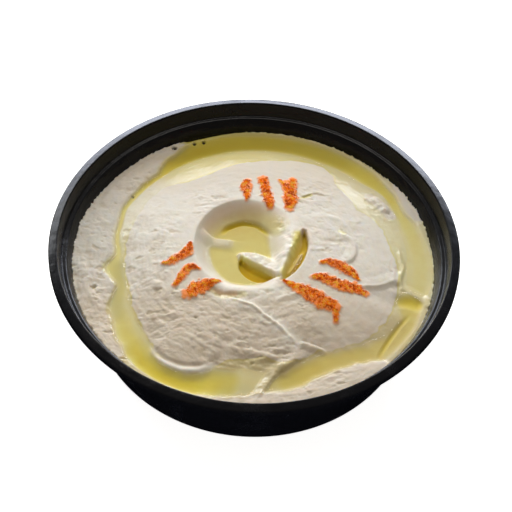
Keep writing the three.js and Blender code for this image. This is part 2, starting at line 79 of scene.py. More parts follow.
class Shader:  # the node tree of a material, or of the world
    def __init__(self, name, kept=bpy.data.materials):
        self.material = kept.new(name)
        self.material.use_nodes = True
        self.tree = self.material.node_tree
        self.tree.nodes.clear()

    def node(self, kind, settings=None, sockets=None, output=0):
        made = self.tree.nodes.new(kind)
        for key, value in (settings or {}).items():
            if key == "stops":
                self.setStops(made.color_ramp, value)
            else:
                setattr(made, key, value)
        for key, value in (sockets or {}).items():
            if isinstance(value, Wire):
                self.tree.links.new(value.socket, made.inputs[key])
            else:
                made.inputs[key].default_value = value
        return Wire(self, made.outputs[output]) if made.outputs else None

    def setStops(self, ramp, stops):
        while len(ramp.elements) < len(stops):
            ramp.elements.new(1.0)
        for element, (place, colour) in zip(ramp.elements, stops):
            element.position = place
            element.color = (*colour, 1.0)

    def mix(self, share, first, second, blend="MIX"):  # of two colours
        settings = {"data_type": "RGBA", "blend_type": blend}
        colours = [(*c, 1.0) if isinstance(c, tuple) else c for c in (first, second)]
        return self.node("ShaderNodeMix", settings, {0: share, 6: colours[0], 7: colours[1]}, 2)

    def ramp(self, value, stops):
        return self.node("ShaderNodeValToRGB", {"stops": stops}, {0: value})

    def between(self, value, start, stop):  # 0 below start, 1 above stop, smooth between
        settings = {"interpolation_type": "SMOOTHSTEP"}
        sockets = {"Value": value, "From Min": start, "From Max": stop}
        return self.node("ShaderNodeMapRange", settings, sockets)

    def attribute(self, name):
        return self.node("ShaderNodeAttribute", {"attribute_name": name}).also("Fac")

    def grain(self, size, detail=2.0, rough=0.5, stretch=(1.0, 1.0, 1.0)):  # size of a lump in mm
        place = self.node("ShaderNodeTexCoord").also("Object")
        scaled = self.node("ShaderNodeMapping", {}, {"Vector": place, "Scale": stretch})
        sockets = {"Vector": scaled, "Scale": 1 / (size * mm), "Detail": detail, "Roughness": rough}
        return self.node("ShaderNodeTexNoise", {}, sockets)

    def bump(self, height, distance, normal=None, strength=1.0):  # distance in mm
        sockets = {"Height": height, "Distance": distance * mm, "Strength": strength}
        if normal is not None:
            sockets["Normal"] = normal
        return self.node("ShaderNodeBump", {}, sockets)

    def surface(self, sockets):  # the Principled shader, as the whole material
        self.show(self.node("ShaderNodeBsdfPrincipled", {}, sockets))
        return self.material

    def show(self, shown):
        self.node("ShaderNodeOutputMaterial", {}, {"Surface": shown})


# shapes shared by the pieces
def ease(start, stop, value):  # 0 at and before start, 1 at and after stop
    t = np.clip((value - start) / (stop - start), 0, 1)
    return t * t * (3 - 2 * t)


def mound(distance, reach):  # 1 in the middle, 0 from its reach on
    return np.clip(1 - (distance / reach) ** 2, 0, None) ** 2


def above(value, width):  # the value where it is above 0, else 0, with a soft bend of the given width
    return (value + np.hypot(value, width)) / 2


def bell(value, centre, width):
    return np.exp(-(((value - centre) / width) ** 2))


def lumps(place, size, octaves, offset):
    # uneven height from about -1 to 1 at each place, in lumps of the given size
    scaled = np.stack([*place, 0 * place[0]][:3], 1) / size + offset
    return np.array([noise.fractal(p, 0.9, 2.0, octaves, noise_basis="PERLIN_ORIGINAL") for p in scaled])


def smoothPath(corners, steps=6):  # a smooth run of points through the corners
    p = np.array(corners, float)
    if len(p) < 3:
        return p
    p = np.vstack([2 * p[0] - p[1], p, 2 * p[-1] - p[-2]])
    run = []
    for a, b, c, d in zip(p, p[1:], p[2:], p[3:]):
        for t in np.arange(steps) / steps:
            run.append(0.5 * (2 * b + (c - a) * t + (2 * a - 5 * b + 4 * c - d) * t**2
                              + (3 * b - a - 3 * c + d) * t**3))
    run.append(p[-2])
    return np.array(run)


def nearest(corners, x, y):
    # distance from a path, share of its length where it is nearest, and whether that is on its left
    run = smoothPath(corners)
    lengths = np.hypot(*np.diff(run, axis=0).T)
    starts = np.concatenate([[0], np.cumsum(lengths)]) / lengths.sum()
    best = np.full(np.shape(x), np.inf)
    along = np.zeros(np.shape(x))
    left = np.zeros(np.shape(x), bool)
    for k, (start, stop) in enumerate(zip(run, run[1:])):
        dx, dy = stop - start
        t = np.clip(((x - start[0]) * dx + (y - start[1]) * dy) / (dx * dx + dy * dy), 0, 1)
        ex = x - start[0] - t * dx
        ey = y - start[1] - t * dy
        distance = np.hypot(ex, ey)
        closer = distance < best
        best = np.where(closer, distance, best)
        along = np.where(closer, starts[k] + t * (starts[k + 1] - starts[k]), along)
        left = np.where(closer, dx * ey - dy * ex > 0, left)
    return best, along, left


def spread(values, along):  # values given at even steps along a path
    return np.interp(along, np.linspace(0, 1, len(values)), values)


def hexDisc(rings):
    # a disc of near-even triangles, 6k points in ring k: each point's ring and angle, triangles
    counts = np.maximum(6 * np.arange(rings + 1), 1)
    starts = np.cumsum(counts) - counts
    ring = np.repeat(np.arange(rings + 1), counts)
    angle = (np.arange(len(ring)) - starts[ring]) / counts[ring] * 2 * np.pi
    faces = []
    for k in range(1, rings + 1):
        sector = np.repeat(np.arange(6), k)
        step = np.tile(np.arange(k), 6)
        a, d = [starts[k - 1] + (sector * (k - 1) + step + more) % counts[k - 1] for more in (0, 1)]
        b, c = [starts[k] + (sector * k + step + more) % counts[k] for more in (0, 1)]
        faces.append(np.stack([a, b, c], 1))
        faces.append(np.stack([a, c, d], 1)[step < k - 1])
    return ring, angle, np.vstack(faces)


def linked(name, data):  # a new object in the scene
    made = bpy.data.objects.new(name, data)
    bpy.context.scene.collection.objects.link(made)
    return made


def meshPiece(name, points, faces, material, node=None, fields=None, smooth=True):
    # points in mm; fields are numbers for each point that the material reads by name
    mesh = bpy.data.meshes.new(name)
    mesh.from_pydata(np.asarray(points) * mm, [], faces if isinstance(faces, list) else faces.tolist())
    for key, values in (fields or {}).items():
        mesh.attributes.new(key, "FLOAT", "POINT").data.foreach_set("value", np.asarray(values, np.float32))
    mesh.polygons.foreach_set("use_smooth", np.full(len(mesh.polygons), smooth))
    mesh.materials.append(material)
    mesh.validate()
    mesh.update()
    piece = linked(name, mesh)
    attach(piece, "root")
    if node:
        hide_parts(node)
    return piece


# the view
camera = {
    "elevation": 49.07,  # degrees above the table
    "distance": 0.63,  # from the middle of the rim, in metres
    "aim": (0.0007, -0.00737, 0.042),
    "roll": 2.69,
    "lens": 114.7,
    "rimMiddle": (0.0, 0.0, 0.042),
}


def addCamera(c):
    data = bpy.data.cameras.new("camera")
    data.lens = c["lens"]
    data.sensor_width = 36
    data.clip_start = 0.01
    data.dof.use_dof = False
    made = linked("camera", data)
    e = math.radians(c["elevation"])
    place = Vector(c["rimMiddle"]) + c["distance"] * Vector((0, -math.cos(e), math.sin(e)))
    look = (Vector(c["aim"]) - place).to_track_quat("-Z", "Y").to_matrix().to_4x4()
    made.matrix_world = Matrix.Translation(place) @ look @ Matrix.Rotation(math.radians(c["roll"]), 4, "Z")
    bpy.context.scene.camera = made


addCamera(camera)
print("camera placed")


# the bowl
bowl = {
    "rimHeight": 42.0,
    "rimRadius": 79.5,
    "rimInnerRadius": 75.9,
    "rimDrop": 0.9,  # from the flange's inner edge to its outer edge
    "flangeThickness": 1.2,
    "skirtDepth": 2.4,
    "skirtThickness": 0.8,
    "wall": 0.8,
    "stepHeight": 36.1,
    "stepRadius": 72.9,
    "stepWidth": 1.6,
    "stepSlope": 0.1,
    "shoulderHeight": 33.0,  # where the wall turns out towards the step
    "shoulderRadius": 71.2,
    "footRadius": 62.8,
    "footWidth": 6.0,
    "footRecess": 1.0,
    "sides": 288,
    "filletSteps": 6,
    "unevenWall": 0.12,  # how far the thin wall strays from round
    "colour": (0.003, 0.0033, 0.005),
    "sheen": 0.2,  # roughness of the polished plastic
}


def wallRadius(height):  # inside, up to the shoulder
    b = bowl
    slope = (b["shoulderRadius"] - b["footRadius"] + b["wall"]) / b["shoulderHeight"]
    return b["shoulderRadius"] - slope * (b["shoulderHeight"] - height)


def filleted(corners, steps):
    # corners are (radius, height, fillet); each fillet is a smooth bend that cuts the corner
    points = [corners[0][:2]]
    for before, corner, after in zip(corners, corners[1:], corners[2:]):
        middle = Vector(corner[:2])
        toBefore = Vector(before[:2]) - middle
        toAfter = Vector(after[:2]) - middle
        reach = min(corner[2], toBefore.length * 0.45, toAfter.length * 0.45)
        start = middle + toBefore.normalized() * reach
        stop = middle + toAfter.normalized() * reach
        for k in range(steps + 1):
            t = k / steps
            points.append(tuple((1 - t) ** 2 * start + 2 * t * (1 - t) * middle + t**2 * stop))
    points.append(corners[-1][:2])
    return points


def bowlSection(b):
    wall, rim, top = b["wall"], b["rimRadius"], b["rimHeight"]
    edge = top - b["rimDrop"]
    floor = b["footRecess"] + wall
    skirtInside = rim - b["skirtThickness"]
    footInside = b["footRadius"] - b["footWidth"]
    step = b["stepRadius"]
    stepOutside = step + b["stepWidth"]
    neck = b["stepHeight"] - 0.6
    inner = b["rimInnerRadius"]
    flat = inner + 0.4
    corners = [
        (0, b["footRecess"], 0),
        (footInside - 1, b["footRecess"], 0.5),
        (footInside, 0, 0.5),
        (b["footRadius"] - 0.1, 0, 1.7),
        (b["shoulderRadius"] + wall, b["shoulderHeight"] - 0.5, 1.0),
        (step + wall, neck - 0.6, 0.6),
        (stepOutside + wall, neck, 0.5),
        (inner + wall, top - b["flangeThickness"], 0.5),
        (skirtInside, edge - b["flangeThickness"], 0.5),
        (skirtInside, edge - b["skirtDepth"], 0.12),
        (rim, edge - b["skirtDepth"], 0.3),
        (rim, edge, 0.5),
        (flat + 0.2, top, 0.3),
        (flat - 0.1, top, 0.2),
        (inner, top - 0.5, 0.4),
        (stepOutside, b["stepHeight"] + b["stepSlope"], 0.45),
        (step, b["stepHeight"], 0.5),
        (b["shoulderRadius"], b["shoulderHeight"], 1.4),
        (wallRadius(floor + 1), floor + 1, 1.0),
        (wallRadius(floor) - 1.6, floor, 1.0),
        (0, floor, 0),
    ]
    return filleted(corners, b["filletSteps"])


def polishedPlastic(b):
    shader = Shader("polished_plastic")
    moulding = shader.grain(9, 3, 0.55, (1, 1, 2.5))
    smudges = shader.between(shader.grain(14, 4, 0.6), 0.45, 0.75)
    rub = shader.grain(0.5, 2, 0.6, (1, 1, 0.25))
    swell = shader.bump(moulding, 0.35)
    return shader.surface({
        "Base Color": shader.mix(smudges, b["colour"], tuple(1.5 * c for c in b["colour"])),
        "Roughness": b["sheen"] + 0.1 * smudges + 0.05 * rub,
        "Specular IOR Level": 0.17,
        "IOR": 1.49,
        "Normal": shader.bump(rub, 0.006, swell),
    })


def addBowl(b):
    section = bowlSection(b)
    turns = np.arange(b["sides"]) / b["sides"] * 2 * np.pi
    points = []
    for radius, height in section[1:-1]:
        free = ease(b["rimRadius"], b["footRadius"], radius) * ease(0, 12, height)
        sway = b["unevenWall"] * free * (np.sin(3 * turns + 0.6) + 0.6 * np.sin(7 * turns + 2.1))
        reach = radius - np.abs(sway) * 0.5
        points += list(np.stack([reach * np.cos(turns), reach * np.sin(turns), height + 0 * turns], 1))
    sides = b["sides"]
    count = len(points)
    last = count - sides  # first point of the last ring
    points += [(0, 0, section[0][1]), (0, 0, section[-1][1])]
    faces = []
    for k in range(sides):
        n = (k + 1) % sides
        faces += [(count, n, k), (count + 1, last + k, last + n)]
        for r in range(0, last, sides):
            faces.append((r + k, r + n, r + sides + n, r + sides + k))
    meshPiece("bowl_shell", points, faces, polishedPlastic(b), "bowl")


addBowl(bowl)
print("bowl made")


# the form of the hummus
hummus = {
    "moatLevel": 30.6,
    "wellLevel": 31.9,
    "slitLevel": 34.3,
    "moundRise": 6.8,  # from the moat's level to the top of the mound
    "moundPower": 2.6,
    "moundRadius": 56.0,
    "shelfLift": 0.25,  # the food between moat and wall, above the oil
    "shelfRise": 0.9,
    "shelfRun": 2.0,
    "shelfEnds": (68.9, 67.3),  # outer radii of the moat between which the shelf dies away
    "bankSharpness": 3.5,
    "innerSharpness": 2.2,
    # the moat: angle from +X, inner radius, outer radius, depth
    "moat": [
        (0, 60, 69.9, 0.42), (18, 60.5, 68.1, 0.5), (26, 62, 66, 0.6), (36, 63, 67.6, 0.9),
        (48, 60.5, 69.4, 1.1), (70, 59.5, 69.9, 1.35), (95, 59.2, 69.9, 1.55), (112, 58.2, 69.3, 1.65),
        (124, 58, 64.5, 1.5), (134, 57.3, 60.2, 1), (154, 56.8, 59.2, 0.6), (166, 54.6, 56.8, 0.5),
        (180, 51.8, 54.6, 0.5), (187, 50.6, 58.4, 0.6), (196, 50.6, 55, 0.5), (208, 52.4, 61.4, 0.5),
        (222, 54.4, 65.4, 0.8), (228, 56.2, 67.9, 1.2), (233, 59.4, 68.6, 1.6), (240, 60.9, 68.7, 1.8),
        (247, 60.3, 68.6, 1.7), (252, 58, 68.4, 1.6), (257, 54.2, 67.6, 1.3), (263, 53.6, 66.4, 1),
        (268, 52.5, 65, 0.35), (274, 53.5, 63.8, 0.3), (279, 55.6, 63.2, 0.5), (283, 55, 63.3, 0.8),
        (288, 52.7, 63, 0.9), (294, 51.6, 61.2, 0.85), (301, 51, 60.9, 0.75), (309, 53.6, 62.4, 0.7),
        (313, 55, 64.8, 0.7), (319, 57.8, 68.6, 0.6), (327, 61, 68.9, 0.6), (334, 62.6, 69.1, 0.6),
        (341, 59, 68.6, 0.7), (347, 59, 68.6, 0.55), (353, 60, 69.7, 0.42),
    ],
    "spit": [(2.2, -68), (4.1, -64.5), (6.4, -60.4), (9.2, -55.4), (13.4, -51.4), (17.5, -47.8),
             (21.8, -45.2)],  # between the two front pools
    # across the moat on the right
    "bank": [(56.6, -10.8), (60.6, -12.2), (64.4, -15), (66.8, -18), (68.6, -20.8)],
    "band": [(-36.6, -44.2), (-34.6, -47.2), (-31.4, -49.8), (-27.4, -51.8), (-23.4, -52.8), (-19.4, -52.6),
             (-15.2, -51.4)],  # inner edge of the flat band at the front left
    "rim": [(-37.6, -45.6), (-35.4, -48.9), (-32.2, -51.8), (-28, -54), (-23.6, -55), (-19, -54.9),
            (-14, -52.8)],  # and its outer edge
    "island": [(46, 35), (50, 31), (53.5, 27)],
    "crest": [(-11, -23), (-5, -25.6), (0.6, -27.6), (5.4, -31.8), (9.5, -34.6), (13.5, -38.3), (17, -41)],
    "swell": [(39, -13.6), (43, -13.4), (47, -12.6), (51, -10.8), (54.4, -8.4), (57.6, -6.4)],
    # folds and hollows: path or its name, reach on its left and right, height
    "folds": [
        ("spit", 4, 1.6, 1.1),
        ("bank", 3.4, 1.5, 0.5),
        ("band", 1.4, 1.6, -0.6),
        ("rim", 2.6, 0.7, 0.5),
        ("island", 3.4, 3.4, 1.4),
        ("crest", 1.4, 5, 0.45),
        ("crest", 0.9, 1.0, 0.65),
        ([(8, -25), (13, -21.6), (18, -20)], 0.9, 1.8, 0.3),
        ([(-10.6, -45), (-2.6, -45.7), (5.3, -47.2), (13.3, -48.6)], 1.1, 3.2, 0.5),
        ([(17.6, -41.4), (21.1, -41.7), (26, -42.6), (28.8, -44)], 1.2, 2.2, 0.75),
        ([(31, 12.4), (36.7, 10.4), (39.2, 6), (39, 1), (36, -2.6), (31.6, -2.4)], 1.1, 4.5, 0.65),
        ([(28, 21), (33, 19.5), (36, 15)], 1.2, 3, 0.4),
        ([(-66, -4), (-64, -12), (-62, -20), (-56, -28)], 1.6, 5, 0.7),
        ([(57.6, -12.4), (57.2, -6.4), (58.8, 0), (57.5, 4), (57, 9)], 1.8, 0.9, 0.5),
        ("swell", 5, 2.4, 0.6),
        ("swell", 1.1, 0.8, 0.25),
        ([(54, -17.4), (60.4, -17), (66.2, -19.4)], 3.8, 4, -0.85),
        ([(47.9, -45.6), (51.1, -38.5), (55.6, -30.4), (60.6, -23)], 1.4, 1.2, -0.5),
        ([(-16, -19.8), (-12, -22.2), (-7.5, -22.4), (-1.5, -21.8)], 1.4, 2.8, -0.7),
        ([(-61.5, -17.2), (-60.6, -18.6)], 1.8, 1.8, -1.4),
        ([(-4, 70.2), (-25, 65.6), (-45, 53.8), (-60, 36.4), (-68, 17)], 2.6, 2.6, -1),
        ([(17.4, 29.7), (19.6, 30.8), (21.8, 32.2)], 0.9, 0.9, -0.3),
        ([(17.6, 31), (20, 32), (22.4, 33.4)], 1.2, 0.7, 0.35),
    ],
    "foldFade": 0.3,
    # the well pressed into the top
    "wellCentre": (-4.8, 3.8),
    "wellHalf": (18.9, 23),
    # the well's bulges to the front and the back right: share, direction, spread
    "wellBulges": [(0.12, -55, 20), (0.12, 38, 24)],
    "wellDepth": 0.62,
    "wellFloor": 0.585,
    "ramp": (0.13, 28, 42),  # reach, direction and spread of the gentle side on the right
    "front": (0.12, -90, 50),
    "lip": (0.45, 1.06, 0.08),
    "lipFront": (0.25, -100, 65),  # least share of its height, direction and spread of the full height
    "arc": ([(-13.6, 12.2), (-10.4, 16), (-5, 18.4), (0.4, 17.4), (4, 14.6), (6.8, 11.6)], 1.5, 1.6, -1.5),
    "keen": (150, 80),  # direction and spread in which the well's edge is keen, not rounded
    # the tongue: its crest, and for each point of it the reach back and front, and the height
    "tongue": [(-4.4, 0), (-2.6, -0.6), (1, -2.2), (4.6, -4.5), (7.5, -7.1), (9.3, -10.2), (10.5, -13.8)],
    "tongueBack": (3.2, 5, 5.7, 5.6, 5.4, 4, 2),
    "tongueFront": (2.4, 3.2, 3.4, 4, 3.6, 2.6, 1.4),
    "tongueTop": (33.5, 34.0, 34.2, 34.3, 34.9, 35.6, 36.2),
    "tongueFlat": 0.4,  # share of its reach on which it is flat
    "knob": [(14, 3.6), (12, 0.4), (9.4, -1), (7.6, -0.4)],
    "wellFolds": [
        ([(-21, 12), (-18.5, 10), (-15.5, 8.9), (-11.5, 8.5), (-7.6, 8.6)], 0.9, 5.5, 1.1),
        ("knob", 3.4, 3.4, 0.65),
        ([(11.6, -3), (10.6, -7.4), (10.6, -12.5)], 2.2, 1.8, 0.5),
    ],
    # cuts: path, reach and evenness of the bank on the left and on the right
    "pocket": ([(-5, -1.8), (-3.6, -5), (-0.5, -7.8), (3.4, -9.4), (7, -10.7), (9.8, -12.4)],
               (3.6, 0.6), (2.8, 0.35)),
    "pocketDepth": 2.7,
    "slit": ([(19.3, 11.4), (19.4, 6), (18, 0), (15.6, -6.6), (12.8, -11.8), (10.9, -14.4)],
             (2.5, 0.5), (4.5, 1)),
    "slitDepth": 1.7,
    "slitRidge": ([(19.3, 3.4), (17.6, -0.6), (15.1, -6.4), (12.9, -10.6)], 1.1, 0.9, 2),
}


def pathOf(path):  # a path, or the one that goes by that name
    return hummus[path] if isinstance(path, str) else path


def foldHeight(fold, x, y, fade=hummus["foldFade"]):
    path, leftReach, rightReach, height = fold
    distance, along, left = nearest(pathOf(path), x, y)
    ends = ease(-0.05, fade - 0.05, np.minimum(along, 1 - along))
    return height * mound(distance, np.where(left, leftReach, rightReach)) * ends


def moatAt(angle):  # inner radius, outer radius and depth of the moat, for angles in degrees
    rows = np.array(hummus["moat"], float)
    rows = np.vstack([rows, rows[:1] + [360, 0, 0, 0]])
    turned = angle % 360
    k = np.clip(np.searchsorted(rows[:, 0], turned, side="right") - 1, 0, len(rows) - 2)
    before, after = rows[k].T, rows[k + 1].T
    t = ease(0, after[0] - before[0], turned - before[0])
    return before[1:] + t * (after[1:] - before[1:])


def openHeight(x, y):  # the mound, the moat round it and the shelf against the wall
    h = hummus
    radius = np.hypot(x, y)
    inner, outer, depth = moatAt(np.degrees(np.arctan2(y, x)))
    edge = h["moundRadius"] + (inner - h["moundRadius"]) * ease(34, 50, radius)
    dome = h["moatLevel"] + h["moundRise"] * (1 - (radius / edge) ** h["moundPower"])
    across = 2 * (radius - inner) / (outer - inner) - 1
    sharpness = np.where(across < 0, h["innerSharpness"], h["bankSharpness"])
    trough = h["moatLevel"] - depth * (1 - np.abs(across) ** sharpness)
    past = np.clip(radius - outer, 0, None)
    shelf = h["shelfLift"] + h["shelfRise"] * (1 - np.exp(-past / h["shelfRun"]))
    shelf = h["moatLevel"] + shelf * ease(*h["shelfEnds"], outer)
    height = np.where(radius < inner, dome, np.where(radius < outer, trough, shelf))
    for fold in h["folds"]:
        height += foldHeight(fold, x, y)
    return height


def lens(along):
    return np.sin(np.pi * (0.08 + 0.88 * along)) ** 0.9


def cutShare(cut, x, y):  # 1 on the floor of a lens-shaped cut, 0 outside
    corners, (leftReach, leftBank), (rightReach, rightBank) = cut
    distance, along, left = nearest(corners, x, y)
    reach = np.where(left, leftReach, rightReach) * lens(along) + 0.2
    floor = reach * (1 - np.where(left, leftBank, rightBank))
    return 1 - ease(floor, reach, distance)


def facing(angle, direction, width):  # 1 in a direction, falling off on both sides of it, in degrees
    return bell((angle - direction + 180) % 360 - 180, 0, width)


def wellPlace(x, y):  # distance from the well's middle as a share of its half widths, and direction
    h = hummus
    east = (x - h["wellCentre"][0]) / h["wellHalf"][0]
    north = (y - h["wellCentre"][1]) / h["wellHalf"][1]
    angle = np.degrees(np.arctan2(north, east))
    further = sum(share * facing(angle, *towards) for share, *towards in h["wellBulges"])
    return np.hypot(east, north) * (1 - further), angle


def foodHeight(x, y):
    h = hummus
    out, angle = wellPlace(x, y)
    ramp = h["ramp"][0] * facing(angle, *h["ramp"][1:])
    front = h["front"][0] * facing(angle, *h["front"][1:])
    sunk = (1 - out) / (1 - h["wellFloor"] + ramp - front)
    keen = facing(angle, *h["keen"])
    sunk = keen * (1 - (1 - np.clip(sunk, 0, 1)) ** 2) + (1 - keen) * ease(0, 1, sunk)
    floor = h["wellLevel"] - h["wellDepth"] + foldHeight(h["arc"], x, y)
    least, *towards = h["lipFront"]
    lip = h["lip"][0] * (least + (1 - least) * facing(angle, *towards))
    top = openHeight(x, y) + lip * bell(out, *h["lip"][1:])
    height = top + (floor - top) * sunk
    for fold in h["wellFolds"]:
        height += foldHeight(fold, x, y)

    distance, along, left = nearest(h["tongue"], x, y)
    reach = np.where(left, spread(h["tongueBack"], along), spread(h["tongueFront"], along))
    share = ease(reach, reach * h["tongueFlat"], distance)
    height += above(spread(h["tongueTop"], along) - height, 0.8) * share

    height -= np.clip(height - h["wellLevel"] + h["pocketDepth"], 0, None) * cutShare(h["pocket"], x, y)
    opened = cutShare(h["slit"], x, y)
    height -= np.clip(height - h["slitLevel"] + h["slitDepth"], 0, None) * opened
    return height + foldHeight(h["slitRidge"], x, y) * np.clip(3 * opened, 0, 1)


def oilLevel(x, y):  # the level of the oil that could stand at a place
    h = hummus
    out, _ = wellPlace(x, y)
    level = np.where(out < 0.97, h["wellLevel"], h["moatLevel"])
    return np.where(cutShare(h["slit"], x, y) > 0.02, h["slitLevel"], level)


# the texture of the hummus
texture = {
    "rings": 178,  # of the surface mesh
    # smears that the spoon left: turns round the mound, their width in mm, height
    "smears": [(6.0, 1.8, 0.13), (15.0, 1.1, 0.07)],
    "coarse": (7.0, 0.3),  # size and height of soft lumps
    "crumb": (3.2, 0.42),
    "grit": (0.9, 0.07),
    "pits": (2.4, 0.35),
    "bare": [  # where the hummus is dry, with no film of oil, and gets painted light: path, reach
        ("tongue", 6), ("knob", 6), ([(6.5, 19.5), (10.4, 16.4), (12.6, 10.3), (14, 3)], 8.5),
        ("rim", 2.4), ("crest", 4.6), ([(-12, -17.6), (-4, -20.4), (4, -21.8), (10, -20)], 4.6),
    ],
    "greyShadePlaces": [  # and where it gets painted shade, greyer: path, reach
        ([(-8, -65), (8, -63), (20, -58.6), (32, -53), (42, -46)], 9),
        ([(-34, 56), (-12, 65), (12, 65), (34, 56)], 8),
        ([(-52, -6), (-52.6, -18), (-51, -30)], 5),
        ([(45, -14.6), (51, -15.4)], 7),
    ],
    # where the mound is painted warmer and greyer, a warmer tone and painted shade: strength, y between
    # which that sets in
    "warm": [(1, -2, -34), (0.55, 20, 44)],
    "greyShade": [(0.8, 20, 44), (0.55, -12, -36)],
    "frontLeft": ((-5, -20), (-20, -40)),  # x and y between which the front left sets in
    # painted light on the oil-covered bottom at the front left
    "frontLeftPale": 0.5,
    "frontLeftThin": 0.35,  # how much shallower its oil looks on the inner side
    # painted light in the pocket
    "pocketLit": 0.8,
    "smooth": 0.2,  # how rough the smooth places are, where 1 is rough
    # rough sides: strength, x and y between which they set in
    "roughSides": [(1, (36, 14), (-12, -25)), (0.9, (-26, -36), (26, 4))],
    "roughShelf": (0.8, (58, 62), (50, 30)),  # the same with radius and x
    # rough spots: strength, middle, reach, stretch along y
    "roughSpots": [
        (0.75, (31, 8), 20, 1), (0.9, (22, 32), 14, 1), (0.9, (-18, 25), 13, 1), (0.7, (56, -6), 9, 1.6),
    ],
    "clods": (2.2, 0.4),  # size and height of the lumps along some paths
    "cloddy": [
        ("tongue", 4), ("knob", 5), ([(9, 17.6), (12.6, 9.3), (14, 3)], 3.5),
        ([(16.5, 8), (15.5, 0), (12.5, -9)], 2.5), ("bank", 3), ("island", 6),
    ],
    "calm": 0.3,  # how much of the unevenness is left near the oil's edge
    "shoreWidth": 0.45,
    "wallNotch": 1.3,
    "waver": (4.0, 0.7),  # size and depth of the bends in the film's edge
    "filmLine": (0.35, 1.8),  # width of the line along that edge, and how much deeper it is
    # the thin film of oil on the mound's side: angle, inner radius, depth
    "film": [
        (0, 56, 0.3), (6, 54.4, 0.3), (18, 53.2, 0.25), (26, 51.6, 0.22), (33, 48, 0.2), (42, 50, 0.22),
        (50, 50.4, 0.25), (56, 55, 0.3), (62, 58, 0.4), (72, 57, 0.4), (80, 54, 0.4), (90, 52, 0.45),
        (99, 50.4, 0.5), (103, 49.3, 0.5), (109, 48.4, 0.45), (113, 46.8, 0.45), (120, 46.7, 0.45),
        (127, 47, 0.4), (131, 49.5, 0.3), (136, 51, 0.12), (145, 51.5, 0.08), (158, 51, 0.08),
        (168, 51, 0.15), (180, 50.6, 0.3), (200, 50, 0.3), (230, 56.4, 0.3), (236, 61.5, 0.2),
        (248, 61.5, 0.2), (256, 54, 0.25), (262, 50, 0.3), (275, 48.5, 0.25), (284, 52, 0.25),
        (290, 51.4, 0.25), (300, 50.4, 0.2), (312, 54, 0.15), (321, 57.4, 0.2), (332, 58.6, 0.25),
        (345, 57.5, 0.3),
    ],
    # more thin oil: path, reach, depth
    "oilSpots": [
        ([(-15, 12), (-10, 17), (-4, 19.4), (3, 18), (8, 14.5)], 6.2, 0.4),
        ([(17, 9), (16.4, 3), (14.8, -4), (12.4, -10.6)], 3, 1.0),
        ([(-15.6, -20.4), (-12, -22.8), (-7.5, -22.8), (-3, -22.2)], 2, 0.25),
        ([(17.4, 29.7), (19.6, 30.8), (21.8, 32.2)], 1.1, 0.6),
        ([(33.5, 13), (35, 12)], 1.5, 0.5),
        ([(-4.8, -1.2), (-1.8, -3.6), (2.2, -6.2), (6, -9.4)], 1.9, 0.7),
    ],
    # where paprika has coloured the oil a little; under the front-left lip, in the slit and on the well's
    # back wall the tint is also painted shade: path, reach, strength
    "blushesAndShade": [
        ([(-14.5, -20.6), (-11, -22), (-6.5, -22)], 1.6, 0.22),
        ([(19.3, 11.4), (19, 4), (17, -2.6), (14, -9)], 3.6, 0.1),
        ([(-3.6, -5), (-0.5, -7.8), (3.4, -9.4), (7, -10.7)], 3, 0.1),
        ([(-19, 12), (-14, 20), (-5, 23.4), (4, 21.6), (9.6, 17)], 5, 0.07),
    ],
    # small air holes by the wall: place and radius
    "holes": [((-35.1, 58.7), 1.5), ((-27, 63), 1.0), ((-23.2, 64.2), 1.0), ((-50.1, 31), 0.6)],
}


def tableAt(table, angle):
    rows = np.array(table, float)
    rows = np.vstack([rows, rows[:1] + [360, 0, 0]])
    return [np.interp(angle % 360, rows[:, 0], column) for column in rows[:, 1:].T]


def roughness(x, y):
    t = texture
    strength, outwards, across = t["roughShelf"]
    places = [strength * ease(*outwards, np.hypot(x, y)) * ease(*across, x),
              mound(nearest(hummus["island"], x, y)[0], 7)]
    for strength, across, along in t["roughSides"]:
        places.append(strength * ease(*across, x) * ease(*along, y))
    for strength, (middleX, middleY), reach, stretch in t["roughSpots"]:
        places.append(strength * mound(np.hypot(x - middleX, (y - middleY) / stretch), reach))
    rough = t["smooth"] + (1 - t["smooth"]) * np.maximum.reduce(places)
    band, _, left = nearest(hummus["band"], x, y)
    return rough * (1 - 0.85 * mound(band, 4) * ~left)  # smoother inside the flat band


def onPaths(rows, x, y):
    # rows are a path or its name, its reach, and its strength where that isn't 1
    shares = [math.prod(strength) * mound(nearest(pathOf(path), x, y)[0], reach)
              for path, reach, *strength in rows]
    return np.maximum.reduce(shares)


def strongest(rows, value):  # rows are a strength and the values between which it sets in
    return np.maximum.reduce([strength * ease(start, stop, value) for strength, start, stop in rows])


def unevenness(x, y):  # height of the fine relief, and how deep each point lies in a pit and in the low relief, for painted shade there
    t = texture
    out, _ = wellPlace(x, y)
    radius = np.hypot(x, y)
    turn = np.arctan2(y, x)
    rough = roughness(x, y) * ease(0.92, 1.12, out)
    height = np.zeros(np.shape(x))
    for number, (turns, width, lift) in enumerate(t["smears"]):
        swept = (np.cos(turn) * turns, np.sin(turn) * turns, radius / width)
        height += lift * lumps(swept, 1.0, 3, 3.7 + 5 * number) * (0.2 + rough)
    size, lift = t["coarse"]
    patches = lumps((x, y), size, 3, 11.3)
    height += lift * patches * (0.25 + 0.75 * rough)
    size, lift = t["crumb"]
    stretched = (x / 1.6, y)
    crumbly = ease(-0.4, 0.3, lumps((x, y), 10.0, 2, 51.0))
    height += lift * lumps(stretched, size, 4, 31.0) * rough * crumbly
    size, lift = t["grit"]
    height += lift * lumps((x, y), size, 2, 5.1) * rough
    size, lift = t["pits"]
    pits = ease(0.26, 0.6, lumps(stretched, size, 3, 23.9)) * rough * ease(-0.25, 0.4, patches)
    height = (height - lift * pits) * ease(0.55, 1.05, out)
    size, lift = t["clods"]
    height += lift * lumps((x, y), size, 3, 61.0) * onPaths(t["cloddy"], x, y)
    return height, np.clip(ease(0.05, -0.45, height) * rough + pits, 0, 1)


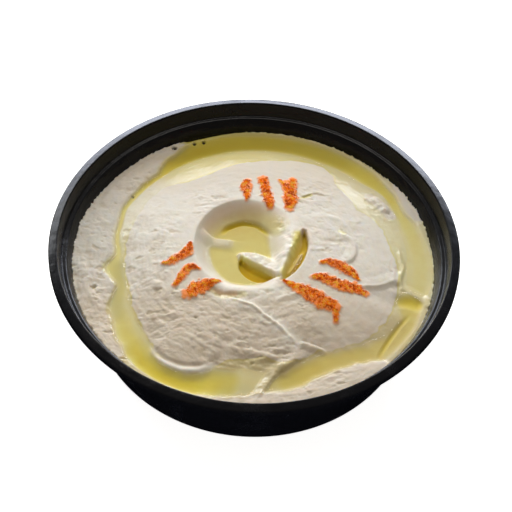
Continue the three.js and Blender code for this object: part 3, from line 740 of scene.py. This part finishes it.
def foodSurface(x, y):
    # height of the surface with its fine relief, and the fields that colour it
    t = texture
    base = foodHeight(x, y)
    level = oilLevel(x, y)
    relief, pits = unevenness(x, y)
    still = t["calm"] + (1 - t["calm"]) * ease(0, t["shoreWidth"], np.abs(base - level))
    height = base + relief * still * (1 - 0.95 * ease(0, 0.3, level - base))
    radius = np.hypot(x, y)
    angle = np.degrees(np.arctan2(y, x))
    inner, outer, _ = moatAt(angle)
    out, _ = wellPlace(x, y)
    # dry places: no film of oil there, no painted shade, and painted light
    bare = onPaths(t["bare"], x, y)
    island = nearest(hummus["island"], x, y)[0]

    # the film of oil
    bendSize, bend = t["waver"]
    waver = lumps((x, y), bendSize, 2, 41.0)
    edge, filmDepth = tableAt(t["film"], angle)
    edge += bend * waver
    beyond = radius - outer - 0.4 * waver - 4 * ease(67.3, 68.6, outer)  # on to the wall with the moat
    wet = ease(-0.5, 0.5, radius - edge) * ease(1.6, 0.2, beyond)
    wet *= ease(2.2, 3.6, island + 0.8 * waver)  # not on the island
    lineWidth, deeper = t["filmLine"]
    line = bell(radius - edge, 0, lineWidth) * (radius < inner)
    film = filmDepth * wet * (1 + deeper * line)
    film = np.maximum(film, 0.2 * ease(0.98, 0.55, out)) * (1 - 0.9 * bare)
    film = np.maximum(film, onPaths(t["oilSpots"], x, y))

    # the depth that the oil shows
    depth = np.clip(level - height, 0, None)
    across, along = t["frontLeft"]
    frontLeft = ease(*across, x) * ease(*along, y)
    pool = ease(0, 0.3, depth) * (out > 1)
    share = 2 * (radius - inner) / (outer - inner) - 1  # from -1 to 1 across the moat
    depth *= 1 - t["frontLeftThin"] * frontLeft * pool * ease(0.2, -0.6, share)

    # painted warmth, light and shade of the hummus
    # painted shade on the well's walls, strongest on its back wall, and in the slit
    wellShade = ease(1, 0.9, out) * (0.25 + 0.75 * ease(6, 16, y))
    warm = np.maximum(strongest(t["warm"], y), wellShade) * (1 - bare)
    warm = np.maximum(warm, cutShare(hummus["slit"], x, y))
    # how much painted shade the bottom of a pool keeps: most towards the front right
    poolShade = np.where(y > 0, 0.5, 0.1 + 0.9 * ease(-10, 25, x))
    # painted shade: greyer on the shelf by the wall, on the back and the front of the mound and in the
    # listed places
    greyShade = np.where(radius < inner, strongest(t["greyShade"], y), ease(0, 1.5, radius - outer))
    greyShade = np.maximum(greyShade, onPaths(t["greyShadePlaces"], x, y)) * ease(3, 6, island) * (1 - bare)
    pocket = cutShare(hummus["pocket"], x, y)
    # painted light: the dry places, the deep pool at the front left and the pocket
    litPale = np.maximum.reduce([bare, t["frontLeftPale"] * pool * frontLeft, t["pocketLit"] * pocket])
    # the air holes: sunk in, with near-black painted shade
    holes = [ease(size, 0.5 * size, np.hypot(x - east, y - north)) for (east, north), size in t["holes"]]
    hole = np.maximum.reduce(holes)
    height -= hole
    fields = {
        "hole": hole,
        "oil": np.maximum(depth, film),
        "light": 0.5 + 0.5 * np.clip(litPale, 0, 1) - 0.5 * greyShade,
        "film": ease(0.05, 0.25, film) * (depth < 0.02),
        "pits": pits * (depth < 0.02),
        "warm": warm * (1 - (1 - poolShade) * pool),
    }
    return height, fields


# the colour of the hummus, with painted light and shade
paste = {
    # painted light: the colour of the lit places
    "litPale": (0.82, 0.785, 0.7),
    "bright": (0.705, 0.672, 0.6),
    # painted shade: the colour of the shaded places
    "greyShade": (0.56, 0.536, 0.478),
    # darker tan: the mottling's own tone, and painted shade in the warm places
    "shade": (0.65, 0.555, 0.437),
    # painted shade in the pits and low places of the relief
    "pitShade": (0.50, 0.42, 0.30),
    "mottle": 0.25,  # share of the shade in the mottling
    "warmShadeShare": 0.7,  # and in the warm places, a warmer tone and painted shade
    "pitShadeShare": 0.6,
    "absorb": (0.05, 0.14, 1.5),  # of light by the oil, for each mm
    "depths": [0, 0.15, 0.3, 0.5, 0.8, 1.2, 1.7, 2.3, 3.0],  # of oil
    "wetDarkening": 0.94,
    "dryRoughness": 0.55,
    "coat": 0.5,
    "coatRoughness": 0.16,
    # paprika's stain, also painted shade where the blushes lie on shaded places
    "stain": (0.9, 0.238, 0.006),
    # painted shade inside the air holes
    "hole": (0.012, 0.01, 0.008),
}


def oilTint(depth):
    wet = 1 + (paste["wetDarkening"] - 1) * min(depth / paste["depths"][1], 1)
    return tuple(wet * math.exp(-a * depth) for a in paste["absorb"])


def chickpeaPaste(p):
    shader = Shader("chickpea_paste")
    mottle = shader.between(shader.grain(3.2, 4, 0.6), 0.35, 0.7)
    fine = shader.grain(0.55, 3, 0.6)
    # the light field runs from painted shade through the paste's own colour to painted light
    light = shader.ramp(shader.attribute("light"), [(0.0, p["greyShade"]), (0.5, p["bright"]), (1.0, p["litPale"])])
    # the warm field mixes in the tan: a warmer tone and painted shade
    colour = shader.mix(p["mottle"] * mottle + p["warmShadeShare"] * shader.attribute("warm"), light, p["shade"])
    # painted shade in the pits and low places of the relief
    colour = shader.mix(p["pitShadeShare"] * shader.attribute("pits"), colour, p["pitShade"])
    # paprika's stain, and painted shade from some blushes
    colour = shader.mix(shader.attribute("stain"), colour, p["stain"])
    # near-black painted shade inside the air holes
    colour = shader.mix(shader.attribute("hole"), colour, p["hole"])
    deepest = p["depths"][-1]
    stops = [(d / deepest, oilTint(d)) for d in p["depths"]]
    tint = shader.ramp(shader.attribute("oil") / deepest, stops)
    colour = shader.mix(1.0, colour, tint, "MULTIPLY")
    return shader.surface({
        "Base Color": colour,
        "Roughness": p["dryRoughness"] + 0.15 * (fine - 0.5),
        "IOR": 1.42,
        "Specular IOR Level": 0.2,
        "Coat Weight": p["coat"] * shader.attribute("film"),
        "Coat Roughness": p["coatRoughness"],
        "Coat IOR": 1.45,
        "Subsurface Weight": 0.4,
        "Subsurface Radius": (1.0, 0.7, 0.4),
        "Subsurface Scale": 0.0015,
        "Normal": shader.bump(shader.grain(0.5, 3, 0.65), 0.06, None, 0.8),
    })


# where the paprika lies
paprika = {
    # path, and half width at each of its points
    "streaks": [
        ([(-4.1, 38.5), (-4.6, 34.1), (-4, 29.4), (-4, 27)], (1.4, 2.7, 1.9, 0.9)),
        ([(2, 39.8), (3.1, 35.6), (4.1, 30.4), (5, 25.8), (5.6, 23.4)], (2.3, 2.1, 2.5, 2.4, 1.5)),
        ([(12.8, 37.4), (13.2, 31.4), (13.4, 27.3), (13, 23)], (3.1, 2.8, 3.3, 1.9)),
        ([(8.8, 39.8), (11, 37)], (0.7, 1.8)),
        ([(14.3, 40.4), (14.2, 37)], (1.8, 2)),
        ([(-25, 2.4), (-25.9, -1.8), (-29, -4.6), (-32.2, -6.9), (-35.3, -7.6)], (0.8, 2.6, 2.3, 2.1, 0.7)),
        ([(-20.9, -10.8), (-24.5, -9.6), (-27.6, -14.3), (-29.9, -18.2)], (0.8, 2, 2, 1.1)),
        ([(-12.6, -16.3), (-16.2, -17.5), (-20.1, -19.2), (-24.5, -22.2)], (0.9, 2.5, 3.7, 2.6)),
        ([(26, -4.5), (29.1, -3.8), (33.4, -5.1), (37.4, -7.2), (40.7, -10.8)], (1, 2.1, 2.7, 2.5, 0.7)),
        ([(22.9, -12), (26.8, -11.6), (32.3, -14.1), (38.1, -15), (43.2, -16.8)], (1.2, 2.7, 2.7, 3.1, 1.8)),
        ([(11.7, -14.9), (17.1, -17.8), (22.2, -20), (27.3, -23.2), (31.5, -24.7)],
         (0.6, 2.3, 3.5, 3.7, 2.7)),
        ([(31.6, -25), (31.9, -28.3), (32, -31)], (1.5, 1.4, 1.1)),
    ],
    "heap": 0.45,
    "edge": (0.5, 0.7),  # how far outside and inside its width a streak ends
    "edgeWaver": (1.6, 0.4),  # size and depth of the bends in its edge
    "grains": 8.5,  # for each square millimetre of streak
    "scatter": 0.5,  # across a streak, in half widths
    "strays": 0.06,  # share of the grains outside the streaks that stay
    "grainRadius": (0.14, 0.33),
    "grainSquash": (0.55, 1.0),
    "grainUneven": 0.25,
    "tone": (0.62, 0.07),  # middle and spread, where 0 is dark and 1 is pale
    "clumps": (2.2, 1.2),  # their size, and how much they change the tone
    "stops": [(0.0, (0.4, 0.055, 0.002)), (0.3, (0.74, 0.12, 0.002)), (0.6, (0.97, 0.21, 0.002)),
              (0.85, (1.0, 0.35, 0.005)), (1.0, (1.0, 0.58, 0.06))],  # tone and colour
    "seed": 7,
}


def paprikaCover(x, y):
    # 1 in the middle of a streak, 0 outside, with an uneven edge
    size, bend = paprika["edgeWaver"]
    waver = 1 + bend * lumps((x, y), size, 3, 71.0)
    outside, inside = paprika["edge"]
    cover = np.zeros(np.shape(x))
    for corners, widths in paprika["streaks"]:
        distance, along, _ = nearest(corners, x, y)
        half = spread(widths, along) * waver
        cover = np.maximum(cover, ease(half + outside, half - inside, distance))
    return cover


def addHummus(t):
    ring, angle, faces = hexDisc(t["rings"])
    radius = ring / t["rings"] * wallRadius(hummus["moatLevel"] + 1)
    x, y = radius * np.cos(angle), radius * np.sin(angle)
    height, fields = foodSurface(x, y)
    cover = paprikaCover(x, y)
    height += paprika["heap"] * cover
    fields["stain"] = np.maximum(0.9 * cover, onPaths(t["blushesAndShade"], x, y))
    rim = ring == t["rings"]
    height[rim] += t["wallNotch"] * lumps((x[rim], y[rim]), 1.6, 3, 91.0)
    turns = angle[rim]
    x[rim] = (wallRadius(height[rim]) + 0.1) * np.cos(turns)
    y[rim] = (wallRadius(height[rim]) + 0.1) * np.sin(turns)
    top = np.stack([x, y, height], 1)

    edge = np.flatnonzero(rim)
    bottom = bowl["footRecess"] + bowl["wall"] + 0.3
    points = [top]
    for level, inset in ((bottom + 2, 0.1), (bottom, 1.7)):
        reach = wallRadius(level) - inset
        points.append(np.stack([reach * np.cos(turns), reach * np.sin(turns), level + 0 * turns], 1))
    points.append([[0, 0, bottom]])
    count = len(edge)
    k = np.arange(count)
    n = (k + 1) % count
    rows = [edge, len(top) + k, len(top) + count + k]
    sides = []
    for upper, lower in zip(rows, rows[1:]):
        sides += [np.stack([upper, lower, lower[n]], 1), np.stack([upper, lower[n], upper[n]], 1)]
    sides.append(np.stack([rows[2], np.full(count, len(top) + 2 * count), rows[2][n]], 1))
    points = np.vstack(points)
    hidden = len(points) - len(top)
    fields = {key: np.concatenate([values, np.zeros(hidden)]) for key, values in fields.items()}
    meshPiece("hummus_body", points, np.vstack([faces, *sides]), chickpeaPaste(paste),
              "hummus", fields)


addHummus(texture)
print("hummus made")


# the oil
oil = {
    "rings": 100,
    "reachIn": 0.3,  # how far a pool's edge runs on inside the hummus
    "underside": 0.3,
    "divides": [hummus["spit"], hummus["bank"]],  # crests between the pools
    "divideGap": 0.8,
    "slitReach": 4.6,
    "pools": [
        ("oil_moat_pool", "oil_moat", "moatLevel", (0, 65)),
        ("oil_front_right_pool", "oil_front_right", "moatLevel", (40, -48)),
        ("oil_well_pool", "oil_well", "wellLevel", (-9, -4)),
        ("oil_slit_pool", "oil_slit", "slitLevel", (18.4, 5)),
    ],
    "tint": (0.99, 0.98, 0.915),
    "mirrored": 0.021,  # share of the light, seen straight on
    "gloss": 0.05,
}


def oliveOil(o):
    shader = Shader("olive_oil")
    ripple = shader.bump(shader.grain(6, 2, 0.5), 0.05)
    clear = shader.node("ShaderNodeBsdfTransparent", {}, {"Color": (*o["tint"], 1)})
    sockets = {"Color": (1, 1, 1, 1), "Roughness": o["gloss"], "Normal": ripple}
    shine = shader.node("ShaderNodeBsdfGlossy", {}, sockets)
    slant = shader.node("ShaderNodeLayerWeight", {}, {"Blend": 0.5, "Normal": ripple}).also("Facing")
    share = o["mirrored"] + (1 - o["mirrored"]) * slant**5.0
    shader.show(shader.node("ShaderNodeMixShader", {}, {0: share, 1: clear, 2: shine}))
    return shader.material


def edgesOf(face):
    a, b, c = face
    return (a, b), (b, c), (c, a)


def grownFrom(seed, faces, middles, isOpen):
    # the open triangles that hang together with the one nearest the seed
    start = np.argmin(np.where(isOpen, np.hypot(*(middles - seed).T), np.inf))
    touching = {}
    for index in np.flatnonzero(isOpen):
        for edge in edgesOf(faces[index]):
            touching.setdefault(frozenset(edge), []).append(index)
    found = {start}
    queue = [start]
    while queue:
        for edge in edgesOf(faces[queue.pop()]):
            fresh = set(touching[frozenset(edge)]) - found
            found |= fresh
            queue += fresh
    return np.array(sorted(found))


def addPool(name, node, level, seed, grid, material, o):
    x, y, faces, height = grid
    middles = np.stack([x[faces].mean(1), y[faces].mean(1)], 1)
    isOpen = (height[faces] < level + o["reachIn"]).all(1)
    if node == "oil_well":
        isOpen &= wellPlace(*middles.T)[0] < 1.0
    for divide in o["divides"]:
        isOpen &= nearest(divide, *middles.T)[0] > o["divideGap"]
    if node == "oil_slit":
        isOpen &= nearest(hummus["slit"][0], *middles.T)[0] < o["slitReach"]
    kept = faces[grownFrom(np.array(seed), faces, middles, isOpen)]
    used, kept = np.unique(kept, return_inverse=True)
    kept = kept.reshape(-1, 3)
    upper = np.stack([x[used], y[used], np.full(len(used), level)], 1)
    lower = np.stack([x[used], y[used], np.minimum(height[used], level) - o["underside"]], 1)
    directed = {edge for face in kept for edge in edgesOf(face)}
    border = np.array([e for e in directed if (e[1], e[0]) not in directed])
    n = len(used)
    a, b = border.T
    walls = np.vstack([np.stack([b, a, a + n], 1), np.stack([b, a + n, b + n], 1)])
    allFaces = np.vstack([kept, kept[:, ::-1] + n, walls])
    meshPiece(name, np.vstack([upper, lower]), allFaces, material, node)


def addOil(o):
    ring, angle, faces = hexDisc(o["rings"])
    radius = ring / o["rings"] * (wallRadius(hummus["moatLevel"]) - 0.1)
    x, y = radius * np.cos(angle), radius * np.sin(angle)
    height, _ = foodSurface(x, y)
    material = oliveOil(o)
    for name, node, level, seed in o["pools"]:
        addPool(name, node, hummus[level], seed, (x, y, faces, height), material, o)


addOil(oil)
print("oil poured")


def groundPaprika(p):
    shader = Shader("ground_paprika")
    fleck = shader.grain(0.35, 2, 0.6)
    tone = shader.attribute("tone") + 0.15 * (fleck - 0.5)
    return shader.surface({
        "Base Color": shader.ramp(tone, p["stops"]),
        "Roughness": 0.6 + 0.3 * fleck,
        "Specular IOR Level": 0.06,
        "Normal": shader.bump(fleck, 0.03),
    })


def grainForm():  # the corners and faces of a grain, an icosahedron
    golden = (1 + 5**0.5) / 2
    corners = np.array([corner for a in (-1, 1) for b in (-golden, golden)
                        for corner in ((0, a, b), (a, b, 0), (b, 0, a))])
    corners /= np.linalg.norm(corners[0])
    side = 4 / (10 + 2 * 5**0.5) ** 0.5
    faces = []
    for i, j, k in itertools.combinations(range(12), 3):
        a, b, c = corners[[i, j, k]]
        if max(np.linalg.norm(gap) for gap in (a - b, b - c, c - a)) < side * 1.01:
            faces.append((i, j, k) if np.dot(np.cross(b - a, c - a), a) > 0 else (i, k, j))
    return corners, np.array(faces)


def scatterPlaces(p, random):  # where the grains lie, as rows of x and y
    places = []
    for corners, widths in p["streaks"]:
        run = smoothPath(corners)
        length = np.hypot(*np.diff(run, axis=0).T)
        starts = np.concatenate([[0], np.cumsum(length)])
        count = int(p["grains"] * starts[-1] * 2 * np.mean(widths))
        along = random.uniform(-0.02, 1.02, count)
        middle, ahead = [np.stack([np.interp(along * starts[-1], starts, column) for column in rows.T], 1)
                         for rows in (run, np.gradient(run, axis=0))]
        ahead /= np.linalg.norm(ahead, axis=1, keepdims=True)
        across = random.normal(0, p["scatter"], count) * spread(widths, along)
        places.append(middle + across[:, None] * np.stack([-ahead[:, 1], ahead[:, 0]], 1))
    return np.vstack(places)


def addPaprika(p):
    random = np.random.default_rng(p["seed"])
    x, y = scatterPlaces(p, random).T
    cover = paprikaCover(x, y)
    kept = random.uniform(0, 1, len(x)) < p["strays"] + cover
    x, y, cover = x[kept], y[kept], cover[kept]
    ground = foodSurface(x, y)[0] + p["heap"] * cover
    corners, faces = grainForm()
    count = len(x)
    size = random.uniform(*p["grainRadius"], count) * (0.7 + 0.3 * cover)
    squash = random.uniform(*p["grainSquash"], (count, 1, 3))
    uneven = 1 + p["grainUneven"] * random.uniform(-1, 1, (count, 12, 1))
    spin = random.normal(0, 1, (count, 4))
    spin /= np.linalg.norm(spin, axis=1, keepdims=True)
    w, i, j, k = spin.T
    turn = np.array([
        [1 - 2 * (j * j + k * k), 2 * (i * j - k * w), 2 * (i * k + j * w)],
        [2 * (i * j + k * w), 1 - 2 * (i * i + k * k), 2 * (j * k - i * w)],
        [2 * (i * k - j * w), 2 * (j * k + i * w), 1 - 2 * (i * i + j * j)],
    ])
    shape = corners[None] * squash * uneven * size[:, None, None]
    shape = np.einsum("ijn,nkj->nki", turn, shape)
    lift = random.uniform(0, 0.3, count) * size + 0.1 * random.uniform(0, 1, count) * cover
    points = shape + np.stack([x, y, ground + lift], 1)[:, None]
    clumpSize, change = p["clumps"]
    clump = lumps((x, y), clumpSize, 2, 17.0)
    middle, deviation = p["tone"]
    tone = np.clip(middle + change * clump + random.normal(0, deviation, count), 0.1, 1)
    allFaces = (faces[None] + 12 * np.arange(count)[:, None, None]).reshape(-1, 3)
    return meshPiece("paprika", points.reshape(-1, 3), allFaces, groundPaprika(p), None,
                     {"tone": np.repeat(tone, 12)}, False)


powder = addPaprika(paprika)
print("paprika sprinkled:", len(powder.data.polygons), "faces")


# floor and light
studio = {
    "floor": (0.9, 0.9, 0.89),
    "floorSize": 3.0,
    "high": {"place": (-0.06, 0.41, 1.15), "size": (0.8, 0.3), "power": 5.9, "colour": (1.0, 0.95, 0.88)},
    "key": {"place": (-0.2, 0.91, 0.62), "size": (1.5, 0.23), "power": 10.7, "colour": (0.95, 0.98, 1.0)},
    "back": {"place": (0.0, 0.92, 0.27), "size": (1.6, 0.34), "power": 22.0, "colour": (0.80, 0.85, 1.0)},
    "sky": (0.24, 0.22, 0.195),
    "ground": (0.0, 0.0, 0.0),  # what the glossy bowl mirrors from below
    "floorGlow": 0.9,
}


def addLight(name, light):
    data = bpy.data.lights.new(name, "AREA")
    data.shape = "RECTANGLE"
    data.size, data.size_y = light["size"]
    data.energy = light["power"]
    data.color = light["colour"]
    made = linked(name, data)
    place = Vector(light["place"])
    aim = Vector((0, 0, 0.03)) - place
    made.matrix_world = Matrix.Translation(place) @ aim.to_track_quat("-Z", "Y").to_matrix().to_4x4()


def addFloor(s):
    half = s["floorSize"] / 2
    shader = Shader("pale_floor")
    shader.surface({"Base Color": (*s["floor"], 1), "Roughness": 0.9,
                    "Emission Color": (1, 1, 1, 1), "Emission Strength": s["floorGlow"]})
    mesh = bpy.data.meshes.new("floor")
    corners = [(-half, -half, 0), (half, -half, 0), (half, half, 0), (-half, half, 0)]
    mesh.from_pydata(corners, [], [(0, 1, 2, 3)])
    mesh.materials.append(shader.material)
    floor = linked("floor", mesh)
    floor.visible_glossy = False


def addSky(s):
    shader = Shader("sky", bpy.data.worlds)
    direction = shader.node("ShaderNodeTexCoord").also("Generated")
    up = shader.node("ShaderNodeSeparateXYZ", {}, {0: direction}, 2)
    colour = shader.mix(shader.between(up, -0.03, 0.03), s["ground"], s["sky"])
    shader.node("ShaderNodeOutputWorld", {}, {0: shader.node("ShaderNodeBackground", {}, {0: colour})})
    return shader.material


def addStudio(s):
    addFloor(s)
    for name in ("high", "key", "back"):
        addLight(name, s[name])
    bpy.data.objects["back"].visible_diffuse = False  # it only shines in the rim and the oil
    scene = bpy.context.scene
    scene.world = addSky(s)
    scene.view_settings.view_transform = "Standard"
    scene.cycles.use_denoising = True


addStudio(studio)
print("studio lit")
